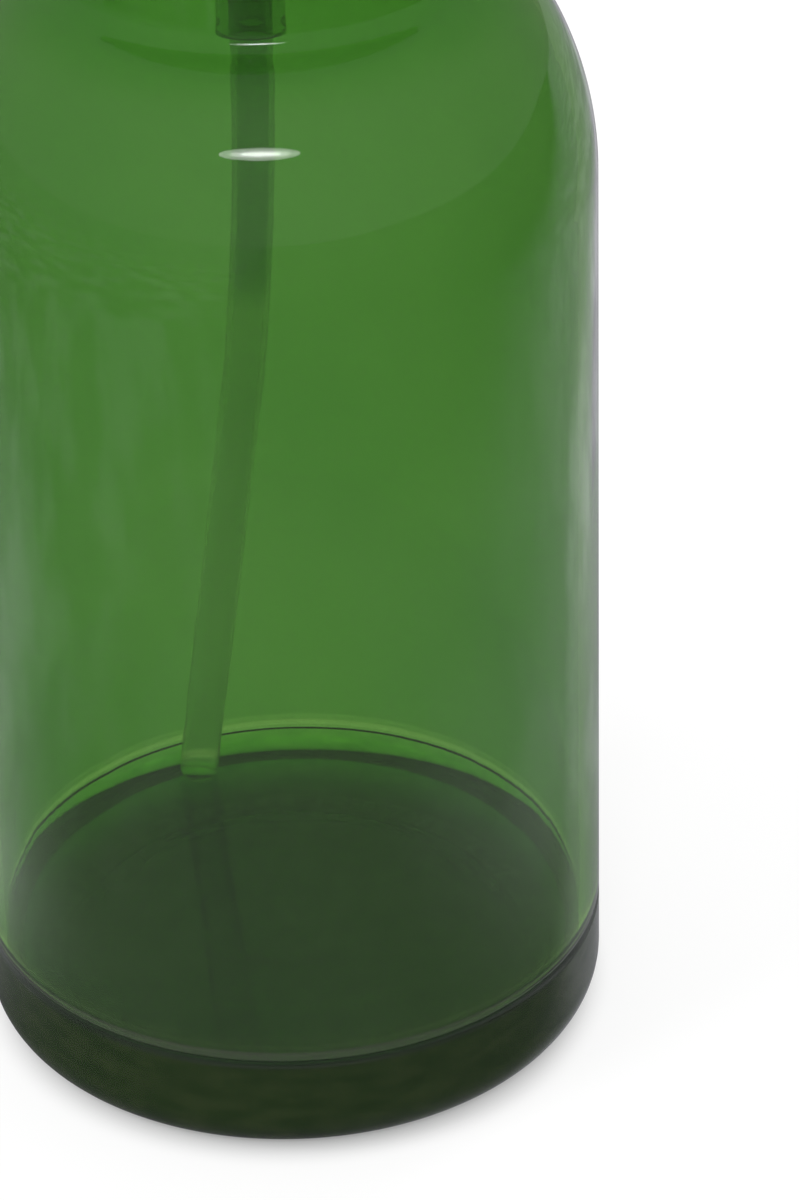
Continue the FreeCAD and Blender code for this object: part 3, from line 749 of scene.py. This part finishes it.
def retainer():
    low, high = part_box("tap_retainer")
    start = Vector((tap_axis.x, low[1], tap_middle.z))
    corners = [(3.05, 0, 0.3), (6.6, 0, 0.5), (6.6, 2, 0.5), (3.05, 2, 0.3)]
    return fit(turned("retaining_collar", corners, start, 64, along="Y"), "tap_retainer", "plug", "tap_plastic")


tap_body()
tap_plug()
retainer()


# Floor, light and camera

def floor_finish(b):
    """White sweep that keeps the shadow, with a painted shadow right under the vessel, where its white glow is left
    out.

    Mirrored in the glass it is dim in front, pale behind at both sides, and softly patched.
    """
    x, y = b.axis("X"), b.axis("Y")
    distance = b.maths("SQRT", x * x + y * y)
    # Painted shadow: the white glow fades out inside 84 mm of the axis and is gone inside 62 mm.
    beyond_painted_shadow = b.step(distance, 0.062, 0.084)
    soft = b.node("ShaderNodeBsdfDiffuse", {}, {"Color": (0.40, 0.40, 0.40, 1)})
    glow = b.node("ShaderNodeEmission", {}, {"Color": (1, 1, 1, 1), "Strength": beyond_painted_shadow * 0.72})
    shown = b.node("ShaderNodeAddShader", {}, {0: soft, 1: glow})

    depth = y - x * 0.8
    patch = b.step(b.noise(8, 3, 0.6), 0.42, 0.64)
    near = b.step(distance, 0.58, 0.34)
    right = b.step(depth, -0.55, -0.14) * b.step(x, 0.08, 0.24)
    strip = b.step(depth, -0.12, -0.085) * b.band(x, 0.0, 0.08, 0.26, 0.36)
    left = b.step(y, -0.10, 0.03) * b.band(x, -0.50, -0.32, -0.14, -0.08)
    far_left = b.step(x, -0.04, -0.30) * patch
    level = 0.03 + near * 0.10 + left * 0.32 + far_left * 0.26
    level += (right * 0.44 + strip * 0.22) * (0.82 + patch * 0.36)
    mirrored = b.node("ShaderNodeEmission", {}, {"Color": (0.94, 0.94, 1, 1), "Strength": level})

    lit = b.node("ShaderNodeBsdfDiffuse", {}, {"Color": (0.8, 0.8, 0.8, 1)})
    hidden = b.node("ShaderNodeMixShader", {}, {0: b.ray("Glossy"), 1: lit, 2: mirrored})
    b.surface(b.node("ShaderNodeMixShader", {}, {0: b.seen(), 1: hidden, 2: shown}))


def sky(b):
    """White to look at or through, grey to be lit by, dim when mirrored."""
    seen = b.seen()
    glossy = b.ray("Glossy") * (1 - seen)
    strength = 0.55 + seen * 0.45 - glossy * 0.33
    shell = b.node("ShaderNodeBackground", {}, {"Color": (1, 1, 1, 1), "Strength": strength})
    b.surface(shell, kind="ShaderNodeOutputWorld")


def lamp(name, place, aim, width, height, power, mirrored):
    """Soft oval lamp that faces its aim. It isn't seen through the glass, and is mirrored only if told to be."""
    data = bpy.data.lights.new(name, "AREA")
    data.shape, data.size, data.size_y, data.energy = "ELLIPSE", width, height, power
    thing = bpy.data.objects.new(name, data)
    bpy.context.scene.collection.objects.link(thing)
    thing.location = place
    thing.rotation_euler = (Vector(aim) - Vector(place)).to_track_quat("-Z", "Y").to_euler()
    thing.visible_glossy = mirrored
    thing.visible_transmission = False


def floor():
    leave_all()
    bpy.ops.mesh.primitive_plane_add(size=40, location=(0, 0, 0))
    ground = bpy.context.object
    ground.name = "studio_floor"
    ground.data.materials.append(finish("white_sweep", floor_finish))


def lights():
    """Three ovals, one in another, make the long highlight on the shoulder. Two lamps fill the left and the back."""
    for number, oval in enumerate(((0.42, 0.08, 1.7), (0.64, 0.16, 2.4), (0.84, 0.27, 2.6))):
        lamp(f"strip_light_{number}", (-0.03, -1.5, 1.35), (0, 0, 0.25), *oval, True)
    lamp("side_light", (-1.3, -0.7, 1.1), (0, 0, 0.2), 1.0, 1.0, 10, False)
    lamp("back_light", (0.9, 1.3, 1.4), (0, 0, 0.2), 1.0, 1.0, 8, False)


def camera():
    """Looks down across the vessel from in front, so close that its neck and left side run out of the frame."""
    tilt, roll, lens = 0.551, -0.023, 164.874
    aim, away = Vector((0.372, 0, 1.443)) * BODY * MM, 17.38 * BODY * MM
    forward, up, side = Vector((0, cos(tilt), -sin(tilt))), Vector((0, sin(tilt), cos(tilt))), AXES["X"]
    across, top = side * cos(roll) + up * sin(roll), up * cos(roll) - side * sin(roll)
    view = Matrix((across, top, -forward)).transposed().to_4x4()
    view.translation = aim - forward * away
    data = bpy.data.cameras.new("camera")
    thing = bpy.data.objects.new("camera", data)
    bpy.context.scene.collection.objects.link(thing)
    thing.matrix_world = view
    data.sensor_fit, data.sensor_width = "AUTO", 36
    data.lens = lens
    data.clip_start, data.clip_end = 0.01, 100
    bpy.context.scene.camera = thing


floor()
lights()
camera()

scene = bpy.context.scene
scene.world = bpy.data.worlds.new("studio")
sky(Bench(scene.world))
scene.view_settings.view_transform = "Standard"
scene.cycles.max_bounces = 24
scene.cycles.transmission_bounces = 24
scene.cycles.glossy_bounces = 8
